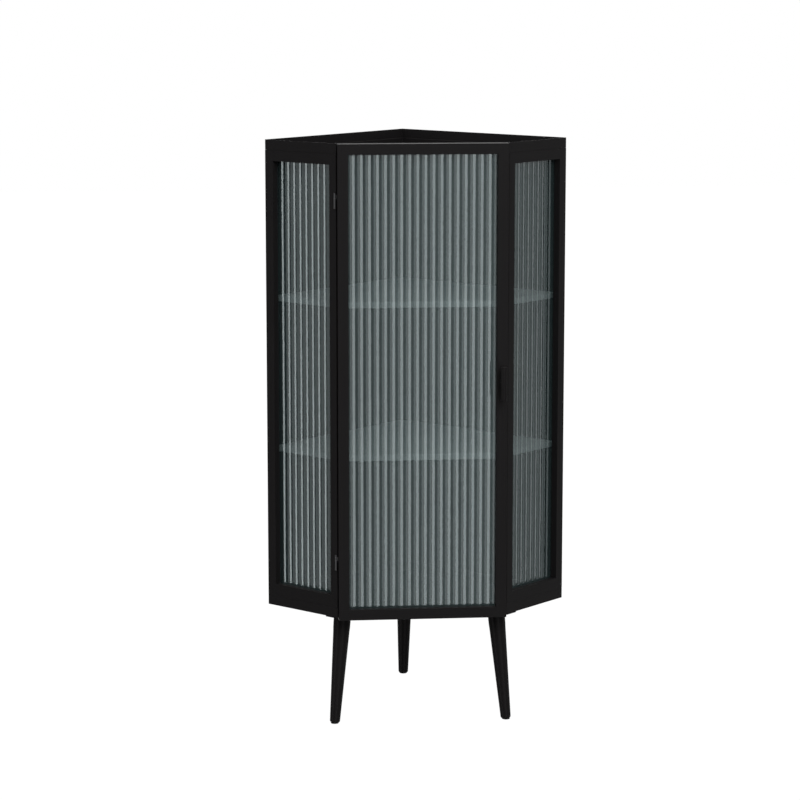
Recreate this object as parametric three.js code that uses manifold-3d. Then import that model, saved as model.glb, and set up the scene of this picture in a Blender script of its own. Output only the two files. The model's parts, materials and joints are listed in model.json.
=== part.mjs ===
// Corner curio cabinet: a sheet-steel body with a cut front corner, fluted glass and three splayed legs.
// Millimetres, +Z up. The door faces -Y and the two back panels stand against the walls of a room's corner.
// The origin is on the floor, under the middle of the cabinet's overall box.

import * as THREE from 'three';
import { mergeVertices } from 'three/addons/utils/BufferGeometryUtils.js';
import Module from 'manifold-3d';

const wasm = await Module();
wasm.setup();

// ---- driving dimensions ----

// Overall plan and heights.
const WALL_LENGTH = 420;
const SIDE_LENGTH = 184;
const BODY_HEIGHT = 930;
const LEG_HEIGHT = 223;

// Sheet metal, and the gap left between pieces that meet.
const SHEET = 1.2;
const FIT = 0.3;
const SEAT_GAP = 0.2;

// Top and bottom panels: trays with an upright rim. The top one is sunk between the frames.
const RIM_HEIGHT = 20;
const RIM_LIP = 12;
const SUNK_DEPTH = 38;
const SUNK_GAP = 1;

// Depth and folds of the glazed frames: the two side frames and the door's.
const FRAME_DEPTH = 21;
const BACK_FLANGE = 8;
const SEAT_LIP = 8;

// Side frames.
const WALL_STILE = 20;
const FRONT_STILE = 18;
const HEADER = 21;
const SILL = 23;
const FRONT_FLANGE = 22;
const NOSE_CUT = 0.8;

// Back panels are flat sheets: their edges lap inside the side frames and the corner post.
const CORNER_POST = 20;
const PANEL_EDGE_GAP = 2;

// Door.
const DOOR_RAIL = 21;
const DOOR_PROUD = 9.3;
const DOOR_GAP = 1.4;
const DOOR_BACK_GAP = 1.8;
const DOOR_DROP = 3.9;
const DOOR_TOP_GAP = 0.7;

// Fluted glass: thickness at the crest of a flute, and how far each flute stands out.
const GLASS_THICKNESS = 4.5;
const FLUTE_RISE = 1.3;
const FLUTE_PITCH = 15.6;
const FLUTE_STEPS = 6;
const GLASS_OVERLAP = 7;

// Clips that hold each pane in its seat.
const CLIP_THICKNESS = 1;
const CLIP_WIDTH = 14;
const CLIP_LENGTH = 16;
const CLIP_EDGE = 3;
const CLIP_GAP = 0.4;

// Shelves and their pins.
const SHELF_THICKNESS = 12;
const SHELF_CLEARANCE = 2;
const SHELF_PIN_GAP = 0.5;
const SHELF_BACK_CUT = 12;
const UPPER_SHELF_DROP = 308;
const LOWER_SHELF_DROP = 609;
const PIN_RADIUS = 2.5;
const PIN_COLLAR_RADIUS = 4;
const PIN_COLLAR = 1.5;
const PIN_REACH = 14;
const FRONT_PIN_INSET = 7;

// Legs: tapered rounds that lean out, each on a plate under the body.
const LEG_TOP_RADIUS = 17;
const LEG_FOOT_RADIUS = 10.2;
const LEG_SHOULDER = 26;
const LEG_FOOT_ROUND = 4;
const LEG_SWELL = 0.7;
const LEG_SPLAY = 0.145;
const FRONT_LEG_INSET = { x: 14, y: 60 };
const FRONT_LEG_LEAN = { x: 19, y: -27 };
const BACK_LEG_INSET = 57;
const LEG_PLATE = 1.8;
const LEG_PLATE_ALONG_SIDE = 31;
const LEG_PLATE_ALONG_FRONT = 45;
const LEG_PLATE_MARGIN = 11.5;
const STUD_RADIUS = 4;
const STUD_IN_LEG = 20;
const STUD_ABOVE = 9;
const STUD_HOLE_IN_PANEL = 7;
const PAD_RADIUS = 8;
const PAD_HEIGHT = 2;

// Hinges: a barrel in a notch of the left side frame's front corner.
const HINGE_SETBACK = 3;
const HINGE_HEIGHT = 31;
const HINGE_INSET = 110;
const BARREL_RADIUS = 2.4;
const HINGE_PIN_RADIUS = 1.2;
const LEAF = 1.2;
const BODY_LEAF_WIDTH = 8;
const DOOR_LEAF_GAP = 0.5;
const KNUCKLE_HEIGHT = 5.5;
const KNUCKLE_TOP_DROP = 5;
const TAB = 1.5;
const NOTCH_DEPTH = 5;
const NOTCH_MARGIN = 1.6;

// Handle: an upright round bar on one post.
const HANDLE_LENGTH = 67;
const HANDLE_RADIUS = 6.2;
const HANDLE_POST_RADIUS = 4;
const HANDLE_POST_LENGTH = 16;
const HANDLE_SPIGOT = 2.5;
const SPIGOT_DEPTH = 4;
const HANDLE_SCREW_RADIUS = 2;
const HANDLE_SCREW_DEPTH = 9;
const HANDLE_SCREW_HEAD = { radius: 4, height: 2.6 };

// Magnet catch, strike plate and door bumpers.
const CATCH = { width: 10, depth: 10, height: 44 };
const CATCH_NOSE = { width: 7, height: 24 };
const CATCH_INSET = 8;
const STRIKE = { width: 15, thickness: 0.8, height: 32, edge: 1 };
const BUMPER = { radius: 3.5, thickness: 1, inset: 5.5, fromEnd: 60 };

// ---- sizes worked out from the driving dimensions ----

const DIAGONAL = Math.SQRT1_2;
const HALF_WIDTH = WALL_LENGTH * DIAGONAL;
const CORNER_Y = -SIDE_LENGTH * DIAGONAL;
const HALF_FRONT = HALF_WIDTH - SIDE_LENGTH * DIAGONAL;
const NEST_DEPTH = FRAME_DEPTH - DOOR_PROUD + DOOR_BACK_GAP;
const FRONT_Y = CORNER_Y + NEST_DEPTH;
const DOOR_FRONT_Y = CORNER_Y - DOOR_PROUD;
const DOOR_WIDTH = 2 * (HALF_FRONT - DOOR_GAP);
const DOOR_HEIGHT = BODY_HEIGHT + DOOR_DROP - DOOR_TOP_GAP;
const FRAME_BOTTOM = RIM_HEIGHT + FIT;
const FRAME_TOP = BODY_HEIGHT - RIM_HEIGHT - FIT;
const MID_HEIGHT = BODY_HEIGHT / 2;
const CLIP_FRONT = FRAME_DEPTH - SHEET - CLIP_GAP - CLIP_THICKNESS;
const GLASS_FRONT = CLIP_FRONT - FIT - GLASS_THICKNESS;
const SEAT_DEPTH = GLASS_FRONT - SEAT_GAP;
const PANEL_OUTSIDE = SHEET + FIT;
const PANEL_INSIDE = PANEL_OUTSIDE + SHEET;
const HINGE_U = SIDE_LENGTH - HINGE_SETBACK / DIAGONAL;
const HINGE_HEIGHTS = { upper: BODY_HEIGHT - HINGE_INSET, lower: HINGE_INSET };
const HANDLE_FRONT_Y = DOOR_FRONT_Y - HANDLE_POST_LENGTH - 2 * HANDLE_RADIUS;
const CENTRE_Y = (HALF_WIDTH + HANDLE_FRONT_Y) / 2;

// ---- finishes ----

const finish = (color, roughness, metalness, more = {}) => (
  new THREE.MeshStandardMaterial({ color, roughness, metalness, ...more })
);

const FINISHES = {
  paint: () => finish(0x1c1c1d, 0.45, 0.3),
  legPaint: () => finish(0x161617, 0.4, 0.2),
  glass: () => finish(0x7f8e8d, 0.12, 0, { transparent: true, opacity: 0.7 }),
  shelf: () => finish(0x9aa3a1, 0.3, 0, { transparent: true, opacity: 0.85 }),
  steel: () => finish(0x6f6f70, 0.35, 0.9),
  rubber: () => finish(0x111112, 0.85, 0),
  plastic: () => finish(0x2a2a2b, 0.55, 0),
};

// ---- solids ----

function toSolid(geometry) {
  const bare = geometry.clone();
  bare.deleteAttribute('normal');
  bare.deleteAttribute('uv');
  const merged = mergeVertices(bare, 1e-4);
  const vertProperties = new Float32Array(merged.attributes.position.array);
  const triVerts = new Uint32Array(merged.index.array);
  return new wasm.Manifold(new wasm.Mesh({ numProp: 3, vertProperties, triVerts }));
}

function toGeometry(solid) {
  const { vertProperties, triVerts } = solid.getMesh();
  const geometry = new THREE.BufferGeometry();
  geometry.setAttribute('position', new THREE.BufferAttribute(new Float32Array(vertProperties), 3));
  geometry.setIndex(new THREE.BufferAttribute(new Uint32Array(triVerts), 1));
  geometry.computeVertexNormals();
  return geometry;
}

const union = (geometries) => (
  toGeometry(geometries.map(toSolid).reduce((whole, piece) => whole.add(piece)))
);

const cut = (geometry, tools) => (
  toGeometry(tools.map(toSolid).reduce((whole, tool) => whole.subtract(tool), toSolid(geometry)))
);

const common = (geometry, other) => toGeometry(toSolid(geometry).intersect(toSolid(other)));

function box([x0, x1], [y0, y1], [z0, z1]) {
  const geometry = new THREE.BoxGeometry(x1 - x0, y1 - y0, z1 - z0);
  return geometry.translate((x0 + x1) / 2, (y0 + y1) / 2, (z0 + z1) / 2);
}

// An outline in plan, extruded from one height to another.
function prism(points, bottom, top) {
  const shape = new THREE.Shape(points.map(([x, y]) => new THREE.Vector2(x, y)));
  const geometry = new THREE.ExtrudeGeometry(shape, { depth: top - bottom, bevelEnabled: false });
  return geometry.translate(0, 0, bottom);
}

// A round solid on the Z axis from [radius, height] points; both ends lie on the axis.
function turned(profile, segments = 24) {
  const points = profile.map(([radius, height]) => new THREE.Vector2(radius, height));
  return new THREE.LatheGeometry(points, segments).rotateX(Math.PI / 2);
}

const rod = (radius, bottom, top, segments = 24) => (
  turned([[0, bottom], [radius, bottom], [radius, top], [0, top]], segments)
);

// The plan section of a folded sheet: its outer face follows the points, the metal lies to their left.
function foldedSheet(points, thickness = SHEET) {
  const path = points.map(([x, y]) => new THREE.Vector2(x, y));
  const normals = path.slice(1).map((point, i) => {
    const along = point.clone().sub(path[i]).normalize();
    return new THREE.Vector2(-along.y, along.x);
  });
  const inner = path.map((point, i) => {
    const before = normals[Math.max(i - 1, 0)];
    const after = normals[Math.min(i, normals.length - 1)];
    const mitre = before.clone().add(after).normalize();
    return point.clone().addScaledVector(mitre, thickness / mitre.dot(before));
  });
  return [...path, ...inner.reverse()].map(({ x, y }) => [x, y]);
}

// The same shape for the other side of the cabinet: mirrored in X, with its faces turned out again.
function mirrored(geometry) {
  const copy = geometry.clone();
  copy.scale(-1, 1, 1);
  const index = copy.index.array;
  for (let i = 0; i < index.length; i += 3) {
    [index[i + 1], index[i + 2]] = [index[i + 2], index[i + 1]];
  }
  copy.computeVertexNormals();
  return copy;
}

// Moves a shape from the cabinet's frame into the left side's frame, whose X runs along the side
// from the wall and whose Y runs inwards along the wall.
const inLeftSide = (geometry) => geometry.translate(HALF_WIDTH, 0, 0).rotateZ(Math.PI / 4);

// ---- groups ----

const cabinet = new THREE.Group();
cabinet.position.set(0, -CENTRE_Y, LEG_HEIGHT);

const door = new THREE.Group();
door.position.set(-DOOR_WIDTH / 2, DOOR_FRONT_Y, -DOOR_DROP);
cabinet.add(door);

const sides = { left: new THREE.Group(), right: new THREE.Group() };
sides.left.position.set(-HALF_WIDTH, 0, 0);
sides.left.rotation.z = -Math.PI / 4;
sides.right.position.set(HALF_WIDTH, 0, 0);
sides.right.rotation.z = Math.PI / 4;
cabinet.add(sides.left, sides.right);

function addPiece(group, name, geometry, finishName) {
  const mesh = new THREE.Mesh(geometry, FINISHES[finishName]());
  mesh.name = name;
  group.add(mesh);
  return mesh;
}

// A piece of one side, given in the left side's frame and mirrored for the right.
function addSidePiece(side, name, geometry, finishName) {
  const shape = side === 'left' ? geometry : mirrored(toGeometry(toSolid(geometry)));
  return addPiece(sides[side], name, shape, finishName);
}

// ---- plan outlines ----

// The body's outline, moved in by an inset. The short steps beside the door nest its edges.
function bodyOutline(inset) {
  const reach = HALF_WIDTH - inset / DIAGONAL;
  const stepX = HALF_FRONT + inset;
  const stepY = stepX - reach;
  const frontY = FRONT_Y + inset;
  return [
    [-stepX, frontY], [stepX, frontY], [stepX, stepY],
    [reach, 0], [0, reach], [-reach, 0], [-stepX, stepY],
  ];
}

// A plain corner outline, set in from the sides and the walls, with a straight front and back.
function cornerOutline(fromSide, fromWall, frontY, backY) {
  const frontX = HALF_WIDTH - fromSide / DIAGONAL + frontY;
  const sideX = HALF_WIDTH - (fromSide + fromWall) * DIAGONAL;
  const sideY = (fromSide - fromWall) * DIAGONAL;
  const backX = HALF_WIDTH - fromWall / DIAGONAL - backY;
  return [
    [-frontX, frontY], [frontX, frontY], [sideX, sideY],
    [backX, backY], [-backX, backY], [-sideX, sideY],
  ];
}

// ---- glazed frames: X across the window, Y inwards from the face, Z up ----

const grow = ({ x0, x1, z0, z1 }, by) => ({ x0: x0 - by, x1: x1 + by, z0: z0 - by, z1: z1 + by });

// A flat band of one width round a window, between two depths.
function band(window, width, front, back) {
  const outer = grow(window, width);
  const plate = box([outer.x0, outer.x1], [front, back], [outer.z0, outer.z1]);
  return cut(plate, [box([window.x0, window.x1], [front - 1, back + 1], [window.z0, window.z1])]);
}

const windowSeat = (window) => [
  band(window, SHEET, 0, SEAT_DEPTH),
  band(window, SEAT_LIP, SEAT_DEPTH - SHEET, SEAT_DEPTH),
];

// A pane cut from a sheet with convex flutes on its outer face. A flute starts at the window's edge.
function flutedPane(window) {
  const { x0, x1, z0, z1 } = grow(window, GLASS_OVERLAP);
  const flutesBefore = Math.ceil(GLASS_OVERLAP / FLUTE_PITCH);
  const sheetStart = window.x0 - flutesBefore * FLUTE_PITCH;
  const flutes = Math.ceil((x1 - sheetStart) / FLUTE_PITCH);
  const sheetEnd = sheetStart + flutes * FLUTE_PITCH;
  const radius = (FLUTE_PITCH * FLUTE_PITCH / 4 + FLUTE_RISE * FLUTE_RISE) / (2 * FLUTE_RISE);
  const halfAngle = Math.asin(FLUTE_PITCH / (2 * radius));
  const back = GLASS_FRONT + GLASS_THICKNESS;
  const front = [];
  for (let flute = 0; flute < flutes; flute += 1) {
    const middle = sheetStart + (flute + 0.5) * FLUTE_PITCH;
    for (let step = 0; step < FLUTE_STEPS; step += 1) {
      const angle = halfAngle * (2 * step / FLUTE_STEPS - 1);
      front.push([middle + radius * Math.sin(angle), GLASS_FRONT + radius * (1 - Math.cos(angle))]);
    }
  }
  front.push([sheetEnd, GLASS_FRONT + FLUTE_RISE]);
  const sheet = prism([...front, [sheetEnd, back], [sheetStart, back]], z0, z1);
  return common(sheet, box([x0, x1], [0, back + 1], [z0 - 1, z1 + 1]));
}

// ---- top and bottom panels ----

// The outline of the top panel's sunk part, behind the frames and the back panels.
function sunkOutline(inset) {
  const fromWall = PANEL_INSIDE + SUNK_GAP + inset;
  const backY = HALF_WIDTH - fromWall / DIAGONAL - SHEET / 2;
  const frontY = FRONT_Y + SHEET + SUNK_GAP + inset;
  return cornerOutline(FRAME_DEPTH + SUNK_GAP + inset, fromWall, frontY, backY);
}

function topPanel() {
  const ledge = BODY_HEIGHT - RIM_HEIGHT;
  const floor = BODY_HEIGHT - SUNK_DEPTH;
  const block = union([
    prism(bodyOutline(0), ledge, BODY_HEIGHT),
    prism(sunkOutline(0), floor, ledge + SHEET),
  ]);
  return cut(block, [
    prism(bodyOutline(SHEET), ledge + SHEET, BODY_HEIGHT + 1),
    prism(sunkOutline(SHEET), floor + SHEET, BODY_HEIGHT + 1),
  ]);
}

function bottomPanel(legs) {
  const tray = prism(bodyOutline(0), 0, RIM_HEIGHT);
  const backY = HALF_WIDTH - RIM_LIP / DIAGONAL - RIM_LIP / 2;
  const opening = cornerOutline(RIM_LIP, RIM_LIP, FRONT_Y + RIM_LIP, backY);
  return cut(tray, [
    prism(bodyOutline(SHEET), SHEET, RIM_HEIGHT - SHEET),
    prism(opening, SHEET, RIM_HEIGHT + 1),
    ...legs.map((leg) => rod(STUD_HOLE_IN_PANEL, -1, SHEET + 1).translate(leg.top.x, leg.top.y, 0)),
  ]);
}

// ---- side frames, their glass and the back panels, in the left side's frame ----

const sideWindow = {
  x0: WALL_STILE,
  x1: SIDE_LENGTH - FRONT_STILE,
  z0: FRAME_BOTTOM + SILL,
  z1: FRAME_TOP - HEADER,
};

function sideFrameFold() {
  const corner = [SIDE_LENGTH, 0];
  const nested = [SIDE_LENGTH - NEST_DEPTH * DIAGONAL, NEST_DEPTH * DIAGONAL];
  const flangeEnd = nested.map((value) => value + FRONT_FLANGE * DIAGONAL);
  const section = foldedSheet([[sideWindow.x1 + SHEET, 0], corner, nested, flangeEnd]);
  return prism(section, FRAME_BOTTOM, FRAME_TOP);
}

// A pin hole through the front flange, on the line that the front shelf pins stand on.
const frontPinX = HALF_FRONT - FRONT_FLANGE + FRONT_PIN_INSET;

function frontPinHole(height) {
  const hole = rod(PIN_RADIUS + FIT, -NEST_DEPTH / 2, NEST_DEPTH / 2, 16).rotateX(Math.PI / 2);
  return inLeftSide(hole.translate(-frontPinX, FRONT_Y, height));
}

function catchHole() {
  const x = HALF_FRONT - FRONT_FLANGE + CATCH_INSET;
  const half = CATCH_NOSE.width / 2 + FIT;
  const halfHeight = CATCH_NOSE.height / 2 + FIT;
  const hole = box([-x - half, -x + half], [FRONT_Y - 1, FRONT_Y + SHEET + 1],
    [MID_HEIGHT - halfHeight, MID_HEIGHT + halfHeight]);
  return inLeftSide(hole);
}

function hingeNotch(height) {
  const back = HINGE_U - BARREL_RADIUS - NOTCH_MARGIN;
  return box([back, SIDE_LENGTH + 1], [-1, NOTCH_DEPTH],
    [height - HINGE_HEIGHT / 2, height + HINGE_HEIGHT / 2]);
}

function sideFrame(holes) {
  const full = [FRAME_BOTTOM, FRAME_TOP];
  const along = [PANEL_INSIDE + FIT, sideWindow.x1 + SHEET];
  const rails = [[FRAME_TOP - SHEET, FRAME_TOP], [FRAME_BOTTOM, FRAME_BOTTOM + SHEET]];
  const railFlanges = [[FRAME_TOP - BACK_FLANGE, FRAME_TOP], [FRAME_BOTTOM, FRAME_BOTTOM + BACK_FLANGE]];
  const backFace = [FRAME_DEPTH - SHEET, FRAME_DEPTH];
  const face = cut(box([0, along[1] + SHEET], [0, SHEET], full), [
    box([sideWindow.x0, sideWindow.x1], [-1, SHEET + 1], [sideWindow.z0, sideWindow.z1]),
  ]);
  const welded = union([
    face,
    ...windowSeat(sideWindow),
    box([0, SHEET], [0, FRAME_DEPTH], full),
    ...rails.map((z) => box(along, [0, FRAME_DEPTH], z)),
    ...railFlanges.map((z) => box(along, backFace, z)),
    sideFrameFold(),
  ]);
  const nose = box([SIDE_LENGTH - NOSE_CUT, SIDE_LENGTH + 1], [-1, NOSE_CUT + 1], [0, BODY_HEIGHT]);
  return cut(welded, [nose, ...holes]);
}

// The clips of a side pane bear on its top and bottom edges, tucked behind the frame's flanges.
function sideClip(across, atTop) {
  const halfWidth = CLIP_WIDTH / 2;
  const edge = atTop ? FRAME_TOP - CLIP_EDGE : FRAME_BOTTOM + CLIP_EDGE;
  const end = atTop ? edge - CLIP_LENGTH : edge + CLIP_LENGTH;
  return box([across - halfWidth, across + halfWidth], [CLIP_FRONT, CLIP_FRONT + CLIP_THICKNESS],
    [Math.min(edge, end), Math.max(edge, end)]);
}

const backPinPlace = WALL_LENGTH / 2;

function backPanel(heights) {
  const end = SHEET + PANEL_EDGE_GAP;
  const sheet = box([PANEL_OUTSIDE, PANEL_INSIDE], [end, WALL_LENGTH - end],
    [FRAME_BOTTOM, FRAME_TOP]);
  const hole = rod(PIN_RADIUS + FIT, 0, PANEL_INSIDE + 1, 16).rotateY(Math.PI / 2);
  return cut(sheet, heights.map((height) => hole.clone().translate(0, backPinPlace, height)));
}

function cornerPost() {
  const start = WALL_LENGTH - CORNER_POST;
  const section = foldedSheet([[CORNER_POST, WALL_LENGTH], [0, WALL_LENGTH], [0, start]]);
  return prism(section, FRAME_BOTTOM, FRAME_TOP);
}

// ---- shelves ----

const shelfTops = { upper: BODY_HEIGHT - UPPER_SHELF_DROP, lower: BODY_HEIGHT - LOWER_SHELF_DROP };
const pinHeight = (name) => shelfTops[name] - SHELF_THICKNESS - FIT - PIN_RADIUS;
const pinHeights = Object.keys(shelfTops).map(pinHeight);

function shelf(top) {
  const fromSide = FRAME_DEPTH + SHELF_CLEARANCE;
  const pinCollar = SHEET + FIT + PIN_COLLAR + SHELF_PIN_GAP;
  const fromWall = PANEL_OUTSIDE + pinCollar;
  const frontY = FRONT_Y + pinCollar;
  const backY = HALF_WIDTH - fromWall / DIAGONAL - SHELF_BACK_CUT;
  return prism(cornerOutline(fromSide, fromWall, frontY, backY), top - SHELF_THICKNESS, top);
}

// A shelf pin on the Z axis: its root fills the hole in the sheet, its collar seats on the inner face.
function shelfPin() {
  const collar = SHEET + FIT;
  return turned([
    [0, SEAT_GAP], [PIN_RADIUS, SEAT_GAP], [PIN_RADIUS, collar],
    [PIN_COLLAR_RADIUS, collar], [PIN_COLLAR_RADIUS, collar + PIN_COLLAR],
    [PIN_RADIUS, collar + PIN_COLLAR], [PIN_RADIUS, PIN_REACH], [0, PIN_REACH],
  ], 16);
}

// ---- legs ----

function legPlace(name, x, y, outX, outY) {
  const out = new THREE.Vector2(outX, outY).normalize().multiplyScalar(LEG_HEIGHT * LEG_SPLAY);
  return {
    name,
    top: new THREE.Vector3(x, y, 0),
    foot: new THREE.Vector3(x + out.x, y + out.y, -LEG_HEIGHT),
  };
}

const frontLegX = HALF_FRONT - FRONT_LEG_INSET.x;
const frontLegY = CORNER_Y + FRONT_LEG_INSET.y;
const legs = [
  legPlace('front_left', -frontLegX, frontLegY, -FRONT_LEG_LEAN.x, FRONT_LEG_LEAN.y),
  legPlace('front_right', frontLegX, frontLegY, FRONT_LEG_LEAN.x, FRONT_LEG_LEAN.y),
  legPlace('back', 0, HALF_WIDTH - BACK_LEG_INSET, 0, 1),
];

// Leans a shape that stands on the Z axis at height 0 so that its axis runs from the foot to the top.
function leanWithLeg(geometry, { top, foot }) {
  const lean = new THREE.Quaternion().setFromUnitVectors(
    new THREE.Vector3(0, 0, 1), top.clone().sub(foot).normalize(),
  );
  return geometry.applyQuaternion(lean).translate(foot.x, foot.y, foot.z);
}

const legLength = (leg) => leg.top.distanceTo(leg.foot);
const plateBottom = -SEAT_GAP - LEG_PLATE;

function tapered(leg) {
  const roundStart = LEG_FOOT_RADIUS - LEG_FOOT_ROUND;
  const footEnd = PAD_HEIGHT + FIT - roundStart * LEG_SPLAY;
  const shoulder = legLength(leg) - LEG_SHOULDER;
  const profile = [[0, footEnd]];
  const steps = 5;
  for (let step = 0; step <= steps; step += 1) {
    const angle = (step / steps) * (Math.PI / 2);
    profile.push([
      roundStart + LEG_FOOT_ROUND * Math.sin(angle),
      footEnd + LEG_FOOT_ROUND * (1 - Math.cos(angle)),
    ]);
  }
  profile.push([LEG_TOP_RADIUS - LEG_SWELL, shoulder - LEG_SHOULDER / 2]);
  profile.push([LEG_TOP_RADIUS, shoulder]);
  profile.push([LEG_TOP_RADIUS, legLength(leg) + LEG_TOP_RADIUS]);
  profile.push([0, legLength(leg) + LEG_TOP_RADIUS]);
  const body = leanWithLeg(turned(profile, 36), leg);
  const reach = HALF_WIDTH + LEG_HEIGHT;
  const slab = box([-reach, reach], [-reach, reach],
    [-LEG_HEIGHT + PAD_HEIGHT + FIT, plateBottom - FIT]);
  const socketBottom = legLength(leg) - STUD_IN_LEG - FIT;
  const socket = leanWithLeg(rod(STUD_RADIUS + FIT, socketBottom, legLength(leg) + 1), leg);
  return cut(common(body, slab), [socket]);
}

function legStud(leg) {
  const length = legLength(leg);
  return leanWithLeg(rod(STUD_RADIUS, length - STUD_IN_LEG, length + STUD_ABOVE), leg);
}

function legPlate(leg, outline) {
  const length = legLength(leg);
  const hole = leanWithLeg(rod(STUD_RADIUS + FIT, length - STUD_IN_LEG, length + STUD_ABOVE), leg);
  return cut(prism(outline, plateBottom, -SEAT_GAP), [hole]);
}

// The front left plate: a rectangle behind the front, its outer corner trimmed along the side.
function frontPlateOutline() {
  const sideEnd = (SIDE_LENGTH - LEG_PLATE_ALONG_SIDE) * DIAGONAL;
  const endX = -HALF_WIDTH + sideEnd;
  const backY = frontLegY + LEG_TOP_RADIUS + LEG_PLATE_MARGIN;
  const innerX = -HALF_FRONT + LEG_PLATE_ALONG_FRONT;
  return [
    [-HALF_FRONT - FIT, CORNER_Y + FIT], [-HALF_FRONT - FIT, FRONT_Y + FIT],
    [innerX, FRONT_Y + FIT], [innerX, backY], [endX, backY], [endX, -sideEnd],
  ];
}

// The back plate: a square with its sides along the walls.
function backPlateOutline() {
  const reach = (LEG_TOP_RADIUS + LEG_PLATE_MARGIN) / DIAGONAL;
  const { x, y } = legs[2].top;
  return [[x, y - reach], [x + reach, y], [x, y + reach], [x - reach, y]];
}

// ---- hinges ----

const knuckleTop = HINGE_HEIGHT / 2 - KNUCKLE_TOP_DROP;
const knuckleBottom = knuckleTop - KNUCKLE_HEIGHT;
const barrelEnd = HINGE_HEIGHT / 2 - 2 * FIT;
const pinBore = () => rod(HINGE_PIN_RADIUS + SEAT_GAP, -HINGE_HEIGHT, HINGE_HEIGHT, 20);

// The body's leaf, in the left side's frame with the hinge axis at X 0: it lies behind the face.
function bodyLeaf() {
  const leafEnd = -BARREL_RADIUS - FIT;
  const depth = [SHEET + FIT, SHEET + FIT + LEAF];
  const leafStart = sideWindow.x1 + SHEET + FIT - HINGE_U;
  const knuckles = [[knuckleTop + FIT, barrelEnd], [-barrelEnd, knuckleBottom - FIT]];
  const whole = union([
    box([Math.max(leafStart, leafEnd - BODY_LEAF_WIDTH), leafEnd], depth, [-barrelEnd, barrelEnd]),
    ...knuckles.map((z) => box([leafEnd - FIT, 0], depth, z)),
    ...knuckles.map(([z0, z1]) => rod(BARREL_RADIUS, z0, z1, 20)),
  ]);
  return cut(whole, [pinBore()]);
}

// The door's leaf, with the hinge axis at X 0: a knuckle, a tab through the door's edge and a plate.
function doorLeaf() {
  const plateX = HINGE_SETBACK + DOOR_GAP + SHEET + FIT;
  const plateY = FRAME_DEPTH - SHEET - DOOR_LEAF_GAP - hingeInDoor.y;
  const whole = union([
    rod(BARREL_RADIUS, knuckleBottom, knuckleTop, 20),
    box([0, plateX + LEAF], [-TAB / 2, TAB / 2], [knuckleBottom, knuckleTop]),
    box([plateX, plateX + LEAF], [-plateY, plateY], [-barrelEnd, barrelEnd]),
  ]);
  return cut(whole, [pinBore()]);
}

function hingePin() {
  const head = HINGE_HEIGHT / 2 - FIT / 2;
  return rod(HINGE_PIN_RADIUS, -head, head, 20);
}

// ---- door: X from its left edge, Y back from its face, Z up from its bottom edge ----

const doorWindow = {
  x0: DOOR_RAIL,
  x1: DOOR_WIDTH - DOOR_RAIL,
  z0: DOOR_RAIL,
  z1: DOOR_HEIGHT - DOOR_RAIL,
};
const hingeInDoor = { x: -HINGE_SETBACK - DOOR_GAP, y: DOOR_PROUD + HINGE_SETBACK };
const handleInDoor = { x: DOOR_WIDTH - DOOR_RAIL / 2, z: MID_HEIGHT + DOOR_DROP };

function doorFrame() {
  const welded = union([
    band(doorWindow, DOOR_RAIL, 0, SHEET),
    band(grow(doorWindow, DOOR_RAIL - SHEET), SHEET, 0, FRAME_DEPTH),
    band(grow(doorWindow, DOOR_RAIL - BACK_FLANGE), BACK_FLANGE, FRAME_DEPTH - SHEET, FRAME_DEPTH),
    ...windowSeat(doorWindow),
  ]);
  const tabSlots = Object.values(HINGE_HEIGHTS).map((height) => {
    const middle = height + DOOR_DROP;
    const half = TAB / 2 + FIT;
    return box([-1, SHEET + 1], [hingeInDoor.y - half, hingeInDoor.y + half],
      [middle + knuckleBottom - FIT, middle + knuckleTop + FIT]);
  });
  const screwHole = rod(HANDLE_SCREW_RADIUS + FIT, -SHEET - 1, 1, 16)
    .rotateX(Math.PI / 2)
    .translate(handleInDoor.x, 0, handleInDoor.z);
  return cut(welded, [...tabSlots, screwHole]);
}

// The clips of the door's pane bear on its upright edges, tucked behind the door's back flange.
function doorClip(onLeft, height) {
  const edge = onLeft ? CLIP_EDGE : DOOR_WIDTH - CLIP_EDGE;
  const end = onLeft ? edge + CLIP_LENGTH : edge - CLIP_LENGTH;
  return box([Math.min(edge, end), Math.max(edge, end)], [CLIP_FRONT, CLIP_FRONT + CLIP_THICKNESS],
    [height - CLIP_WIDTH / 2, height + CLIP_WIDTH / 2]);
}

// Handle pieces stand on the Z axis of the post, with the door's face at height 0 and the bar above.
const barCentre = HANDLE_POST_LENGTH + HANDLE_RADIUS;
const onHandle = (geometry) => (
  geometry.rotateX(Math.PI / 2).translate(handleInDoor.x, 0, handleInDoor.z)
);

function handleBar() {
  const half = HANDLE_LENGTH / 2;
  const round = 1;
  const bar = turned([
    [0, -half], [HANDLE_RADIUS - round, -half], [HANDLE_RADIUS, -half + round],
    [HANDLE_RADIUS, half - round], [HANDLE_RADIUS - round, half], [0, half],
  ], 32).rotateX(Math.PI / 2).translate(0, 0, barCentre);
  const socketTop = HANDLE_POST_LENGTH + SPIGOT_DEPTH + FIT;
  return onHandle(cut(bar, [rod(HANDLE_SPIGOT + FIT, 0, socketTop, 20)]));
}

function handlePost() {
  const shaft = rod(HANDLE_POST_RADIUS, SEAT_GAP, barCentre, 24);
  const barSpace = rod(HANDLE_RADIUS + FIT, -HANDLE_LENGTH, HANDLE_LENGTH, 32)
    .rotateX(Math.PI / 2)
    .translate(0, 0, barCentre);
  const bore = rod(HANDLE_SCREW_RADIUS + FIT, -1, HANDLE_SCREW_DEPTH + FIT, 16);
  const spigot = rod(HANDLE_SPIGOT, HANDLE_POST_LENGTH - 2, HANDLE_POST_LENGTH + SPIGOT_DEPTH, 20);
  return onHandle(union([cut(shaft, [barSpace, bore]), spigot]));
}

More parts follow.
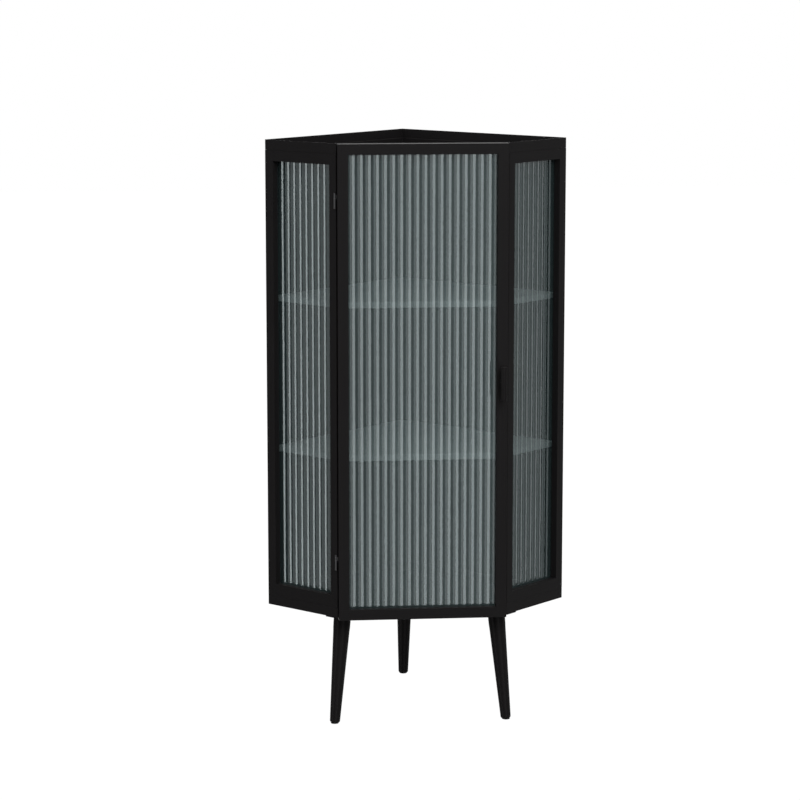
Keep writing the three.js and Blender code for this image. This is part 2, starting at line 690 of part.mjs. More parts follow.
function handleScrew() {
  const under = -SHEET - SEAT_GAP;
  const { radius, height } = HANDLE_SCREW_HEAD;
  return onHandle(turned([
    [0, under - height], [radius, under - height], [radius, under],
    [HANDLE_SCREW_RADIUS, under], [HANDLE_SCREW_RADIUS, HANDLE_SCREW_DEPTH], [0, HANDLE_SCREW_DEPTH],
  ], 16));
}

// ---- catch, strike plate and bumpers ----

function magnetCatch() {
  const x = HALF_FRONT - FRONT_FLANGE + CATCH_INSET;
  const bodyY = FRONT_Y + SHEET + FIT;
  const span = (middle, size) => [middle - size / 2, middle + size / 2];
  return union([
    box(span(x, CATCH.width), [bodyY, bodyY + CATCH.depth], span(MID_HEIGHT, CATCH.height)),
    box(span(x, CATCH_NOSE.width), [FRONT_Y + SEAT_GAP, bodyY + 1], span(MID_HEIGHT, CATCH_NOSE.height)),
  ]);
}

function strikePlate() {
  const right = DOOR_WIDTH - STRIKE.edge;
  const front = FRAME_DEPTH + SEAT_GAP;
  const middle = handleInDoor.z;
  return box([right - STRIKE.width, right], [front, front + STRIKE.thickness],
    [middle - STRIKE.height / 2, middle + STRIKE.height / 2]);
}

const bumper = (height) => (
  rod(BUMPER.radius, SEAT_GAP, SEAT_GAP + BUMPER.thickness, 20)
    .rotateX(Math.PI / 2)
    .translate(HALF_FRONT - BUMPER.inset, FRONT_Y, height)
);

// ---- assembly ----

addPiece(cabinet, 'top_panel', topPanel(), 'paint');
addPiece(cabinet, 'bottom_panel', bottomPanel(legs), 'paint');
addPiece(sides.left, 'back_corner_post', cornerPost(), 'paint');

const pinHoles = pinHeights.map(frontPinHole);
const hingeNotches = Object.values(HINGE_HEIGHTS).map(hingeNotch);
addSidePiece('left', 'left_side_frame', sideFrame([...pinHoles, ...hingeNotches]), 'paint');
addSidePiece('right', 'right_side_frame', sideFrame([...pinHoles, catchHole()]), 'paint');

const windowWidth = sideWindow.x1 - sideWindow.x0;
for (const side of ['left', 'right']) {
  addSidePiece(side, `${side}_side_glass`, flutedPane(sideWindow), 'glass');
  addSidePiece(side, `${side}_back_panel`, backPanel(pinHeights), 'paint');
  for (const [place, share] of [['wall', 0.25], ['door', 0.75]]) {
    const across = sideWindow.x0 + windowWidth * share;
    addSidePiece(side, `${side}_glass_clip_top_${place}`, sideClip(across, true), 'steel');
    addSidePiece(side, `${side}_glass_clip_bottom_${place}`, sideClip(across, false), 'steel');
  }
}

for (const [name, top] of Object.entries(shelfTops)) {
  addPiece(cabinet, `${name}_shelf`, shelf(top), 'shelf');
  for (const side of ['left', 'right']) {
    const sign = side === 'left' ? -1 : 1;
    const frontPin = addPiece(cabinet, `${name}_shelf_pin_front_${side}`,
      shelfPin().rotateX(-Math.PI / 2), 'steel');
    frontPin.position.set(sign * frontPinX, FRONT_Y, pinHeight(name));
    const backPin = shelfPin().rotateY(Math.PI / 2)
      .translate(PANEL_OUTSIDE, backPinPlace, pinHeight(name));
    addSidePiece(side, `${name}_shelf_pin_back_${side}`, backPin, 'steel');
  }
}

const leftPlate = legPlate(legs[0], frontPlateOutline());
const plates = [leftPlate, mirrored(leftPlate), legPlate(legs[2], backPlateOutline())];
legs.forEach((leg, i) => {
  addPiece(cabinet, `${leg.name}_leg`, tapered(leg), 'legPaint');
  addPiece(cabinet, `${leg.name}_leg_plate`, plates[i], 'paint');
  addPiece(cabinet, `${leg.name}_leg_stud`, legStud(leg), 'steel');
  const pad = addPiece(cabinet, `${leg.name}_foot_pad`, rod(PAD_RADIUS, 0, PAD_HEIGHT), 'rubber');
  pad.position.copy(leg.foot);
});

addPiece(door, 'door_frame', doorFrame(), 'paint');
addPiece(door, 'door_glass', flutedPane(doorWindow), 'glass');
for (const [place, share] of [['upper', 0.8], ['lower', 0.2]]) {
  addPiece(door, `door_glass_clip_${place}_left`, doorClip(true, DOOR_HEIGHT * share), 'steel');
  addPiece(door, `door_glass_clip_${place}_right`, doorClip(false, DOOR_HEIGHT * share), 'steel');
}
addPiece(door, 'handle_bar', handleBar(), 'paint');
addPiece(door, 'handle_post', handlePost(), 'paint');
addPiece(door, 'handle_screw', handleScrew(), 'steel');
addPiece(door, 'strike_plate', strikePlate(), 'steel');

for (const [place, height] of Object.entries(HINGE_HEIGHTS)) {
  addPiece(sides.left, `${place}_hinge_body_leaf`, bodyLeaf(), 'steel').position.set(HINGE_U, 0, height);
  addPiece(sides.left, `${place}_hinge_pin`, hingePin(), 'steel').position.set(HINGE_U, 0, height);
  addPiece(door, `${place}_hinge_door_leaf`, doorLeaf(), 'steel')
    .position.set(hingeInDoor.x, hingeInDoor.y, height + DOOR_DROP);
}

addPiece(cabinet, 'magnet_catch', magnetCatch(), 'plastic');
addPiece(cabinet, 'upper_door_bumper', bumper(BODY_HEIGHT - BUMPER.fromEnd), 'rubber');
addPiece(cabinet, 'lower_door_bumper', bumper(BUMPER.fromEnd), 'rubber');

const model = new THREE.Group();
model.add(cabinet);
export default model;
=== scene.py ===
"""A corner curio cabinet in black powder-coated steel, with fluted glass, two shelves and splayed legs.

Metres, +Z up, with the door facing -Y. The sheet-metal parts keep their own solids and get folded
edges and finishes; glass, legs, handle, pins and fixings are built here at full smoothness.
"""

import json
import math

import bmesh
import bpy
from mathutils import Matrix, Vector


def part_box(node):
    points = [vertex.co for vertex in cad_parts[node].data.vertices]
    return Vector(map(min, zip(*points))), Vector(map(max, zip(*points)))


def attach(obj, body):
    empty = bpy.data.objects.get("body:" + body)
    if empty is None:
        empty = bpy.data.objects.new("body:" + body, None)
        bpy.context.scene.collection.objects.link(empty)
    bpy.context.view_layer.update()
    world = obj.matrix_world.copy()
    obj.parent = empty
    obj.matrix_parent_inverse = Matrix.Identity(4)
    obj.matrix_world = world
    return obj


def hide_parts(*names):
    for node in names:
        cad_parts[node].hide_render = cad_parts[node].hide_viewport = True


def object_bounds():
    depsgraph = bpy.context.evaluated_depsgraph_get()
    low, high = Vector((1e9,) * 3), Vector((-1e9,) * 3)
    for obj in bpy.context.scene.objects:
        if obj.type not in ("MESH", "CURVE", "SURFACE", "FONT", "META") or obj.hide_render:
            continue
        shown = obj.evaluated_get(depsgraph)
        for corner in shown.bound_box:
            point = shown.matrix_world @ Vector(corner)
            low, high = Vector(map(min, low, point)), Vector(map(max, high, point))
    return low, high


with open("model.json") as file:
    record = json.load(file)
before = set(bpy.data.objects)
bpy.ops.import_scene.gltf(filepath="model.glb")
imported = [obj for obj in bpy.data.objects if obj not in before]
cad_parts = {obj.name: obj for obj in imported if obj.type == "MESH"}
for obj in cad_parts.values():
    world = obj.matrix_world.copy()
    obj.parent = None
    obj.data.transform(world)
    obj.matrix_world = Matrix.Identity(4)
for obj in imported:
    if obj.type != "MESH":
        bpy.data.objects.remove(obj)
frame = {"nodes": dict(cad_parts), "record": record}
nodes = frame["nodes"]
cad_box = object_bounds()

MM = 0.001

# ---- sizes that the finishing pieces add to the frame ----

FOLD_RADIUS = 0.45 * MM          # rounding of a folded or sheared sheet edge
SOFT_EDGE = 0.25 * MM            # rounding of small hardware
JOIN_DISTANCE = 0.01 * MM

FLUTE_PITCH = 15.6 * MM
FLUTE_RISE = 1.3 * MM
FLUTE_STEPS = 14
GLASS_OVERLAP = 7 * MM           # how far a pane reaches behind its window's edges
GLASS_ARRIS = 0.35 * MM
SHELF_ARRIS = 1.1 * MM

TURNED_SEGMENTS = 56
SMALL_SEGMENTS = 32
DOME_SEGMENTS = 40

SCREW_RADIUS = 3.0 * MM
SCREW_RISE = 0.9 * MM
SCREW_RINGS = 9
SMALL_SCREW_RADIUS = 1.7 * MM
SMALL_SCREW_RISE = 0.7 * MM
CLIP_SCREW_RISE = 0.3 * MM
PANEL_SCREW_RISE = 0.5 * MM
PANEL_SCREW_ROWS = 6
PANEL_SCREW_EDGE = 9 * MM
PANEL_SCREW_END = 40 * MM
CATCH_SCREW_END = 5 * MM

LEG_LEAN_SHARE = 0.145           # how far a leg's foot stands out, per height
LEG_TOP_RADIUS = 17 * MM
LEG_FOOT_RADIUS = 10.2 * MM
LEG_FOOT_ROUND = 4 * MM
LEG_SHOULDER = 26 * MM
LEG_SWELL = 0.7 * MM
PLATE_SCREW_EDGE = 8 * MM
BACK_PLATE_SCREW_EDGE = 12 * MM
PLATE_SCREW_FROM_TRIM = {"inner": 22 * MM, "outer": 30 * MM}

HANDLE_ROUND = 1.2 * MM
HANDLE_RINGS = (-24, -12, 0, 12, 24)
POST_FLARE = 1.4 * MM
POST_FOOT = 0.6 * MM

HINGE_PIN_DOME = 0.5 * MM
PEG_RADIUS = 2.5 * MM
PEG_NOSE = 1.0 * MM
COLLAR_RADIUS = 4.0 * MM
COLLAR_SEAT = 1.3 * MM
COLLAR_WIDTH = 1.5 * MM


# ---- places worked out from the frame ----

def low(node):
    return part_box(node)[0]


def high(node):
    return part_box(node)[1]


def centre(node):
    return (low(node) + high(node)) / 2


HALF_WIDTH = high("top_panel").x
WALL_CORNER_Y = high("top_panel").y
SIDE_Y = WALL_CORNER_Y - HALF_WIDTH
DOOR_LOW = low("door_frame")
DIAGONAL = math.sqrt(0.5)


class Face:
    """One glazed side: u runs along it, w runs inwards from its outer plane, z is up."""

    def __init__(self, name, body, origin, along, inward):
        self.name = name
        self.body = body
        self.matrix = Matrix((
            (along[0], inward[0], 0, origin[0]),
            (along[1], inward[1], 0, origin[1]),
            (0, 0, 1, 0),
            (0, 0, 0, 1),
        ))

    def box(self, node):
        """The lowest and highest corner of a CAD node along u, w and z."""
        back = self.matrix.inverted()
        places = [back @ v.co for v in nodes[node].data.vertices]
        lowest = Vector(min(p[i] for p in places) for i in range(3))
        highest = Vector(max(p[i] for p in places) for i in range(3))
        return lowest, highest


DOOR = Face("door", "door", (DOOR_LOW.x, DOOR_LOW.y), (1, 0), (0, 1))
LEFT = Face("left_side", "cabinet", (-HALF_WIDTH, SIDE_Y), (DIAGONAL, -DIAGONAL), (DIAGONAL, DIAGONAL))
RIGHT = Face("right_side", "cabinet", (HALF_WIDTH, SIDE_Y), (-DIAGONAL, -DIAGONAL), (-DIAGONAL, DIAGONAL))
FACES = (DOOR, LEFT, RIGHT)


# ---- shader building ----

def add_node(tree, kind, **settings):
    node = tree.nodes.new(kind)
    for key, value in settings.items():
        setattr(node, key, value)
    return node


def plug(tree, value, socket):
    """Links an output to a socket, or sets the socket's own value."""
    if isinstance(value, bpy.types.NodeSocket):
        tree.links.new(value, socket)
    else:
        socket.default_value = value


def maths(tree, operation, *values, clamp=False):
    node = add_node(tree, "ShaderNodeMath", operation=operation, use_clamp=clamp)
    for socket, value in zip(node.inputs, values):
        plug(tree, value, socket)
    return node.outputs[0]


def noise(tree, vector, scale, detail=3.0, roughness=0.55):
    node = add_node(tree, "ShaderNodeTexNoise")
    plug(tree, vector, node.inputs["Vector"])
    plug(tree, scale, node.inputs["Scale"])
    node.inputs["Detail"].default_value = detail
    node.inputs["Roughness"].default_value = roughness
    return node.outputs["Fac"]


def spread(tree, value, low_in, high_in, low_out=0.0, high_out=1.0):
    """Maps a value from one range to another, held at both ends."""
    node = add_node(tree, "ShaderNodeMapRange", interpolation_type="SMOOTHSTEP")
    for name, number in (("Value", value), ("From Min", low_in), ("From Max", high_in),
                         ("To Min", low_out), ("To Max", high_out)):
        plug(tree, number, node.inputs[name])
    return node.outputs["Result"]


def blend_colours(tree, share, first, second):
    node = add_node(tree, "ShaderNodeMix", data_type="RGBA")
    plug(tree, share, node.inputs[0])
    plug(tree, first, node.inputs[6])
    plug(tree, second, node.inputs[7])
    return node.outputs[2]


def new_group(name, inputs, outputs):
    """A shader node group with named sockets: inputs as (name, default), outputs as (name, kind)."""
    group = bpy.data.node_groups.new(name, "ShaderNodeTree")
    for socket_name, default in inputs:
        kind = "NodeSocketColor" if isinstance(default, tuple) else "NodeSocketFloat"
        socket = group.interface.new_socket(socket_name, in_out="INPUT", socket_type=kind)
        socket.default_value = default
    for socket_name, kind in outputs:
        group.interface.new_socket(socket_name, in_out="OUTPUT", socket_type=kind)
    start = group.nodes.new("NodeGroupInput")
    end = group.nodes.new("NodeGroupOutput")
    return group, start.outputs, end.inputs


def place_group(tree, group, **values):
    node = add_node(tree, "ShaderNodeGroup", node_tree=group)
    for name, value in values.items():
        plug(tree, value, node.inputs[name.replace("_", " ").capitalize()])
    return node.outputs


def object_places(tree):
    return add_node(tree, "ShaderNodeTexCoord").outputs["Object"]


def coat_texture_group():
    """The orange peel and tone of a sprayed coat."""
    group, given, out = new_group(
        "coat_texture",
        [("Colour", (0.02, 0.02, 0.02, 1)), ("Peel size", 1.6 * MM), ("Tone", 0.2), ("Gloss change", 0.08),
         ("Base roughness", 0.4)],
        [("Colour", "NodeSocketColor"), ("Roughness", "NodeSocketFloat"), ("Height", "NodeSocketFloat")],
    )
    places = object_places(group)
    per_metre = maths(group, "DIVIDE", 1.0, given["Peel size"])
    peel = noise(group, places, per_metre, detail=2.0)
    patches = noise(group, places, 9.0, detail=4.0)
    grains = noise(group, places, maths(group, "MULTIPLY", per_metre, 3.1), detail=1.0)
    lift = maths(group, "MULTIPLY", maths(group, "SUBTRACT", patches, 0.5), given["Tone"])
    sparkle = maths(group, "MULTIPLY", maths(group, "SUBTRACT", grains, 0.5), given["Tone"])
    brightness = maths(group, "ADD", 1.0, maths(group, "ADD", lift, sparkle))
    scaled = add_node(group, "ShaderNodeVectorMath", operation="SCALE")
    plug(group, given["Colour"], scaled.inputs[0])
    plug(group, brightness, scaled.inputs["Scale"])
    plug(group, scaled.outputs[0], out["Colour"])
    change = maths(group, "MULTIPLY", maths(group, "SUBTRACT", patches, 0.5), given["Gloss change"])
    plug(group, maths(group, "ADD", given["Base roughness"], change), out["Roughness"])
    plug(group, maths(group, "ADD", peel, maths(group, "MULTIPLY", grains, 0.25)), out["Height"])
    return group


def edge_wear_group():
    """A mask of the outer edges and corners, broken up as handling wears them."""
    group, given, out = new_group(
        "edge_wear",
        [("Width", 0.8 * MM), ("Amount", 0.5), ("Patch size", 22 * MM)],
        [("Mask", "NodeSocketFloat")],
    )
    rounded = add_node(group, "ShaderNodeBevel", samples=4)
    plug(group, given["Width"], rounded.inputs["Radius"])
    facing = add_node(group, "ShaderNodeVectorMath", operation="DOT_PRODUCT")
    plug(group, rounded.outputs["Normal"], facing.inputs[0])
    plug(group, add_node(group, "ShaderNodeNewGeometry").outputs["Normal"], facing.inputs[1])
    edge = spread(group, facing.outputs["Value"], 0.995, 0.9)
    patches = noise(group, object_places(group), maths(group, "DIVIDE", 1.0, given["Patch size"]), detail=5.0)
    broken = maths(group, "MULTIPLY", edge, spread(group, patches, 0.42, 0.62))
    plug(group, maths(group, "MULTIPLY", broken, given["Amount"], clamp=True), out["Mask"])
    return group


def dust_group():
    """A mask of the dust that settles on faces that look up."""
    group, given, out = new_group(
        "dust", [("Amount", 0.3), ("Patch size", 60 * MM)], [("Mask", "NodeSocketFloat")])
    split = add_node(group, "ShaderNodeSeparateXYZ")
    plug(group, add_node(group, "ShaderNodeNewGeometry").outputs["Normal"], split.inputs[0])
    upward = spread(group, split.outputs["Z"], 0.4, 1.0)
    places = object_places(group)
    drifts = noise(group, places, maths(group, "DIVIDE", 1.0, given["Patch size"]), detail=4.0)
    specks = noise(group, places, 900.0, detail=1.0)
    thick = spread(group, drifts, 0.3, 0.7, 0.4, 1.0)
    cover = maths(group, "MULTIPLY", thick, spread(group, specks, 0.35, 0.7))
    settled = maths(group, "MULTIPLY", cover, upward)
    plug(group, maths(group, "MULTIPLY", settled, given["Amount"]), out["Mask"])
    return group


COAT_TEXTURE = coat_texture_group()
EDGE_WEAR = edge_wear_group()
DUST = dust_group()
DUST_COLOUR = (0.32, 0.31, 0.29, 1)


def new_material(name):
    material = bpy.data.materials.new(name)
    material.use_nodes = True
    tree = material.node_tree
    tree.nodes.clear()
    shader = add_node(tree, "ShaderNodeBsdfPrincipled")
    output = add_node(tree, "ShaderNodeOutputMaterial")
    tree.links.new(shader.outputs[0], output.inputs["Surface"])
    return material, tree, shader, output


def bumped(tree, shader, height, distance, strength=0.6):
    bump = add_node(tree, "ShaderNodeBump")
    bump.inputs["Strength"].default_value = strength
    bump.inputs["Distance"].default_value = distance
    plug(tree, height, bump.inputs["Height"])
    plug(tree, bump.outputs["Normal"], shader.inputs["Normal"])


def coated(name, colour, roughness, peel, worn_colour, wear=0.2, dust=0.04, bump=0.05 * MM,
           specular=0.04, tone=0.25, gloss_change=0.1):
    """A finish with a sprayed or moulded texture, worn edges and a little dust."""
    material, tree, shader, _ = new_material(name)
    coat = place_group(tree, COAT_TEXTURE, colour=(*colour, 1), peel_size=peel, tone=tone,
                       gloss_change=gloss_change, base_roughness=roughness)
    worn = place_group(tree, EDGE_WEAR, amount=wear)["Mask"]
    dusty = place_group(tree, DUST, amount=dust)["Mask"]
    shown = blend_colours(tree, worn, coat["Colour"], (*worn_colour, 1))
    shown = blend_colours(tree, dusty, shown, DUST_COLOUR)
    plug(tree, shown, shader.inputs["Base Color"])
    rough = maths(tree, "ADD", coat["Roughness"], maths(tree, "MULTIPLY", dusty, 0.5), clamp=True)
    plug(tree, rough, shader.inputs["Roughness"])
    shader.inputs["Metallic"].default_value = 0.0
    shader.inputs["Specular IOR Level"].default_value = specular
    bumped(tree, shader, coat["Height"], bump)
    return material


def brushed_steel():
    """Dark zinc-plated steel with fine drawn lines."""
    material, tree, shader, _ = new_material("dark_zinc_steel")
    coat = place_group(tree, COAT_TEXTURE, colour=(0.06, 0.06, 0.062, 1), peel_size=0.8 * MM, tone=0.35,
                       gloss_change=0.2, base_roughness=0.34)
    stretched = add_node(tree, "ShaderNodeMapping")
    plug(tree, object_places(tree), stretched.inputs["Vector"])
    stretched.inputs["Scale"].default_value = (2200, 2200, 90)
    lines = noise(tree, stretched.outputs[0], 1.0, detail=2.0)
    worn = place_group(tree, EDGE_WEAR, amount=0.8, width=0.5 * MM)["Mask"]
    plug(tree, blend_colours(tree, worn, coat["Colour"], (0.42, 0.42, 0.43, 1)), shader.inputs["Base Color"])
    plug(tree, coat["Roughness"], shader.inputs["Roughness"])
    shader.inputs["Metallic"].default_value = 0.9
    bumped(tree, shader, maths(tree, "ADD", lines, coat["Height"]), 0.02 * MM)
    return material


def let_through(tree, shader, output, seen, lit, colour):
    """Makes a pane part clear: one share for what is seen through it, one for light falling through."""
    path = add_node(tree, "ShaderNodeLightPath")
    clear = add_node(tree, "ShaderNodeBsdfTransparent")
    clear.inputs["Color"].default_value = (*colour, 1)
    mix = add_node(tree, "ShaderNodeMixShader")
    extra = maths(tree, "MULTIPLY", path.outputs["Is Shadow Ray"], lit - seen)
    plug(tree, maths(tree, "ADD", extra, seen), mix.inputs[0])
    tree.links.new(shader.outputs[0], mix.inputs[1])
    tree.links.new(clear.outputs[0], mix.inputs[2])
    tree.links.new(mix.outputs[0], output.inputs["Surface"])


def fluted_glass():
    """Grey-green fluted glass with a milky haze, part clear."""
    material, tree, shader, output = new_material("fluted_glass")
    places = object_places(tree)
    clouds = noise(tree, places, 6.0)
    plug(tree, blend_colours(tree, clouds, (0.022, 0.034, 0.035, 1), (0.030, 0.046, 0.047, 1)),
         shader.inputs["Base Color"])
    smears = noise(tree, places, 14.0, detail=5.0)
    plug(tree, spread(tree, smears, 0.35, 0.75, 0.035, 0.06), shader.inputs["Roughness"])
    shader.inputs["Metallic"].default_value = 0.0
    shader.inputs["IOR"].default_value = 1.8
    shader.inputs["Specular IOR Level"].default_value = 1.0
    shader.inputs["Specular Tint"].default_value = (0.88, 0.965, 0.975, 1)
    shader.inputs["Transmission Weight"].default_value = 0.15
    bumped(tree, shader, noise(tree, places, 12.0, detail=0.0), 0.01 * MM, 0.1)
    let_through(tree, shader, output, 0.45, 0.95, (0.92, 0.96, 0.96))
    return material


def shelf_glass():
    """Thick grey-green shelf glass with a satin surface."""
    material, tree, shader, output = new_material("satin_shelf_glass")
    places = object_places(tree)
    tint = blend_colours(tree, noise(tree, places, 5.0), (0.60, 0.62, 0.62, 1), (0.66, 0.68, 0.68, 1))
    dusty = place_group(tree, DUST, amount=0.15)["Mask"]
    plug(tree, blend_colours(tree, dusty, tint, DUST_COLOUR), shader.inputs["Base Color"])
    smears = noise(tree, places, 11.0, detail=5.0)
    plug(tree, spread(tree, smears, 0.3, 0.75, 0.28, 0.42), shader.inputs["Roughness"])
    shader.inputs["Metallic"].default_value = 0.0
    shader.inputs["IOR"].default_value = 1.5
    shader.inputs["Transmission Weight"].default_value = 0.2
    bumped(tree, shader, noise(tree, places, 300.0), 0.04 * MM, 0.3)
    let_through(tree, shader, output, 0.1, 0.5, (0.86, 0.94, 0.94))
    return material


FINISHES = {
    "frame_paint": coated("black_powder_coat", (0.0092, 0.0086, 0.0089), 0.42, 1.6 * MM, (0.03, 0.029, 0.03)),
    "leg_paint": coated("black_lacquer", (0.0092, 0.0084, 0.0087), 0.38, 3.0 * MM, (0.03, 0.029, 0.03),
                        bump=0.03 * MM),
    "fluted_glass": fluted_glass(),
    "shelf_glass": shelf_glass(),
    "hardware_steel": brushed_steel(),
    "rubber": coated("matt_rubber", (0.016, 0.016, 0.016), 0.82, 0.9 * MM, (0.05, 0.05, 0.05), wear=0.3,
                     dust=0.4, specular=0.1),
    "catch_plastic": coated("moulded_plastic", (0.022, 0.022, 0.023), 0.5, 0.7 * MM, (0.08, 0.08, 0.08)),
}


def finish(piece, slot_name):
    piece.data.materials.clear()
    piece.data.materials.append(FINISHES[slot_name])
    return piece


# ---- mesh building ----

def new_piece(name, mesh_maker, body, slot_name, stands_for=()):
    """A named piece from a bmesh in the row frame, riding on a body."""
    mesh = bpy.data.meshes.new(name)
    shape = bmesh.new()
    mesh_maker(shape)
    bmesh.ops.remove_doubles(shape, verts=shape.verts, dist=JOIN_DISTANCE / 10)
    bmesh.ops.recalc_face_normals(shape, faces=shape.faces)
    shape.to_mesh(mesh)
    shape.free()
    piece = bpy.data.objects.new(name, mesh)
    bpy.context.scene.collection.objects.link(piece)
    finish(piece, slot_name)
    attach(piece, body)
    if stands_for:
        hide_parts(*stands_for)
    return piece


def smooth(piece, angle=35.0):
    """Smooth shading across curves, with folds and rims kept crisp."""
    mesh = piece.data
    for polygon in mesh.polygons:
        polygon.use_smooth = True
    mesh.set_sharp_from_angle(angle=math.radians(angle))
    return piece


def round_edges(piece, radius, segments=2, angle=30.0):
    bevel = piece.modifiers.new("rounded_edges", "BEVEL")
    bevel.width = radius
    bevel.segments = segments
    bevel.limit_method = "ANGLE"
    bevel.angle_limit = math.radians(angle)
    piece.modifiers.new("flat_faces", "WEIGHTED_NORMAL").weight = 100
    return piece


def circle_angles(count):
    return [2 * math.pi * i / count for i in range(count)]


def join_rings(shape, rings, segments):
    """Faces between each ring of points and the next; a ring may be one point."""
    for below, above in zip(rings, rings[1:]):
        for i in range(segments):
            j = (i + 1) % segments
            corners = [below[i % len(below)], below[j % len(below)]]
            corners += [above[j % len(above)], above[i % len(above)]]
            unique = list(dict.fromkeys(corners))
            if len(unique) > 2:
                shape.faces.new(unique)


def turned(shape, profile, matrix=Matrix.Identity(4), segments=TURNED_SEGMENTS):
    """A solid of revolution about Z from (radius, height) points, moved by a matrix."""
    rings = []
    for radius, height in profile:
        if radius < 1e-7:
            rings.append([shape.verts.new(matrix @ Vector((0, 0, height)))])
            continue
        rings.append([
            shape.verts.new(matrix @ Vector((radius * math.cos(a), radius * math.sin(a), height)))
            for a in circle_angles(segments)
        ])
    join_rings(shape, rings, segments)


def arc(centre_point, radius, start, end, steps):
    """Points on an arc in the (radius, height) plane, angles in degrees."""
    angles = [math.radians(start + (end - start) * i / steps) for i in range(steps + 1)]
    return [(centre_point[0] + radius * math.cos(a), centre_point[1] + radius * math.sin(a)) for a in angles]


def turn_to(direction, place):
    """A matrix that stands a shape's Z axis along a direction at a place."""
    return Matrix.Translation(place) @ Vector(direction).to_track_quat("Z", "Y").to_matrix().to_4x4()


def screw_head(shape, place, direction, radius, rise, turn=0.0):
    """A low domed head with a cross recess, as rings of points whose heights follow the recess."""
    matrix = turn_to(direction, place) @ Matrix.Rotation(turn, 4, "Z")
    arm, half_width, depth = radius * 0.62, radius * 0.17, rise * 0.9

    def height(x, y):
        r = math.hypot(x, y)
        dome = rise * (1 - 0.55 * (r / radius) ** 2)
        near = min(abs(x), abs(y))
        far = max(abs(x), abs(y))
        inside = max(0.0, min(1.0, (half_width - near) / (half_width * 0.5))) * (1.0 if far < arm else 0.0)
        return dome - depth * inside

    def ring(r, height_at):
        points = [(r * math.cos(a), r * math.sin(a)) for a in circle_angles(SMALL_SEGMENTS)]
        return [shape.verts.new(matrix @ Vector((x, y, height_at(x, y)))) for x, y in points]

    loops = [[shape.verts.new(matrix @ Vector((0, 0, height(0, 0))))]]
    loops += [ring(radius * i / SCREW_RINGS, height) for i in range(1, SCREW_RINGS + 1)]
    loops.append(ring(radius * 1.02, lambda x, y: 0.0))
    loops.append([shape.verts.new(matrix @ Vector((0, 0, 0)))])
    join_rings(shape, loops, SMALL_SEGMENTS)


def screws(name, body, places, direction, radius=SCREW_RADIUS, rise=SCREW_RISE, slot_name="hardware_steel"):
    """A row of screw heads as one piece, each turned a little differently."""
    def make(shape):
        for i, place in enumerate(places):
            screw_head(shape, place, direction, radius, rise, turn=0.7 * i + 0.3)
    return smooth(new_piece(name, make, body, slot_name), 40)


# ---- fluted glass ----

def fluted_pane(face):
    """A pane with convex flutes from its window's edge on, its ends ground to a small arris."""
    node = face.name + "_glass"
    near, far = face.box(node)
    radius = (FLUTE_PITCH ** 2 / 4 + FLUTE_RISE ** 2) / (2 * FLUTE_RISE)
    window_edge = near.x + GLASS_OVERLAP
    step = FLUTE_PITCH / FLUTE_STEPS
    first = math.floor((near.x - window_edge) / step) + 1
    last = math.ceil((far.x - window_edge) / step) - 1
    across = [near.x] + [window_edge + step * i for i in range(first, last + 1)] + [far.x]

    def surface(u):
        from_crest = (u - window_edge) % FLUTE_PITCH - FLUTE_PITCH / 2
        return near.y + radius - math.sqrt(radius ** 2 - from_crest ** 2)

    front = [(u, surface(u)) for u in across]

    def make(shape):
        levels = [(near.z, GLASS_ARRIS), (near.z + GLASS_ARRIS, 0.0),
                  (far.z - GLASS_ARRIS, 0.0), (far.z, GLASS_ARRIS)]
        rows = []
        for z, inset in levels:
            outline = [(u, w + inset) for u, w in front]
            outline += [(u, far.y - inset) for u, _ in reversed(front)]
            rows.append([shape.verts.new(face.matrix @ Vector((u, w, z))) for u, w in outline])
        count = len(rows[0])
        for below, above in zip(rows, rows[1:]):
            for i in range(count):
                j = (i + 1) % count
                shape.faces.new((below[i], below[j], above[j], above[i]))
        for row in (rows[0], rows[-1]):
            for i in range(len(front) - 1):
                shape.faces.new((row[i], row[i + 1], row[count - 2 - i], row[count - 1 - i]))

    return smooth(new_piece(face.name + "_fluted_pane", make, face.body, "fluted_glass", (node,)), 22)


for each_face in FACES:
    fluted_pane(each_face)


# ---- legs ----

